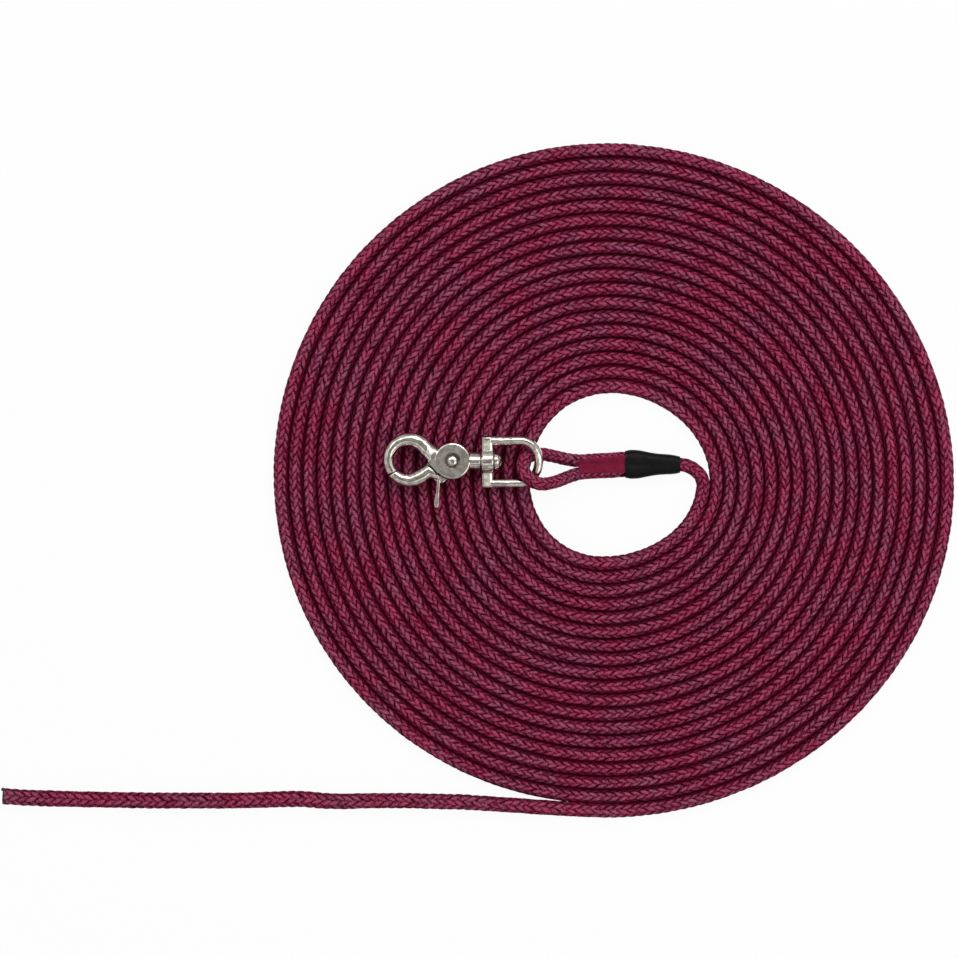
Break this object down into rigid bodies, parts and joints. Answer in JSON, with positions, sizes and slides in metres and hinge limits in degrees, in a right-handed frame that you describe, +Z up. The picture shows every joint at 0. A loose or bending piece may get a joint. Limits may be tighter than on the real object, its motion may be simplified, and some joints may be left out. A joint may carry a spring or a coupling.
{
  "type": "training leash",
  "caption": "Long thin braided rope leash laid in a flat spiral, its inner end sewn into an eye that holds a swivelling scissor snap hook, its outer end cut plain.",
  "frame": {"origin": "on the floor, under the middle of the whole leash's box", "axes": "+X along the plain tail from its cut end towards the coil, and from the hook's jaws towards the sewn eye; +Y away from the side the tail lies on; +Z up"},
  "size_m": [0.3772, 0.266, 0.0161],
  "materials": {
    "rope": "braided, matt",
    "thread": "twisted, slightly shiny",
    "sleeve": "satin shrink tube",
    "nickel": "polished nickel plating",
    "spring_steel": "drawn wire"
  },
  "bodies": {
    "rope": {"rope_coil": "rope", "rope_tail": "rope", "rope_lead": "rope", "rope_eye": "rope", "needle_thread": "thread", "bobbin_thread": "thread", "shrink_sleeve": "sleeve"},
    "bail": {"bail": "nickel"},
    "hook": {"hook_body": "nickel", "swivel_pin": "nickel", "gate_rivet": "nickel", "gate_spring": "spring_steel"},
    "gate": {"gate": "nickel"}
  },
  "joints": [
    {"name": "hook_tilt", "type": "hinge", "parent": "rope", "child": "bail", "pos_m": [0.02479, 0.00759, 0.0108], "axis": [0, 1, 0], "range_deg": [0, 90], "deforming": ["rope_eye"]},
    {"name": "swivel", "type": "hinge", "parent": "bail", "child": "hook", "pos_m": [0.00419, 0.00759, 0.0108], "axis": [1, 0, 0], "range_deg": [-9, 9]},
    {"name": "gate", "type": "hinge", "parent": "hook", "child": "gate", "pos_m": [-0.00971, 0.00759, 0.0108], "axis": [0, 0, 1], "range_deg": [0, 38], "stiffness_Nm_per_rad": 0.05, "springref_deg": -22.92, "deforming": ["gate_spring"]}
  ]
}
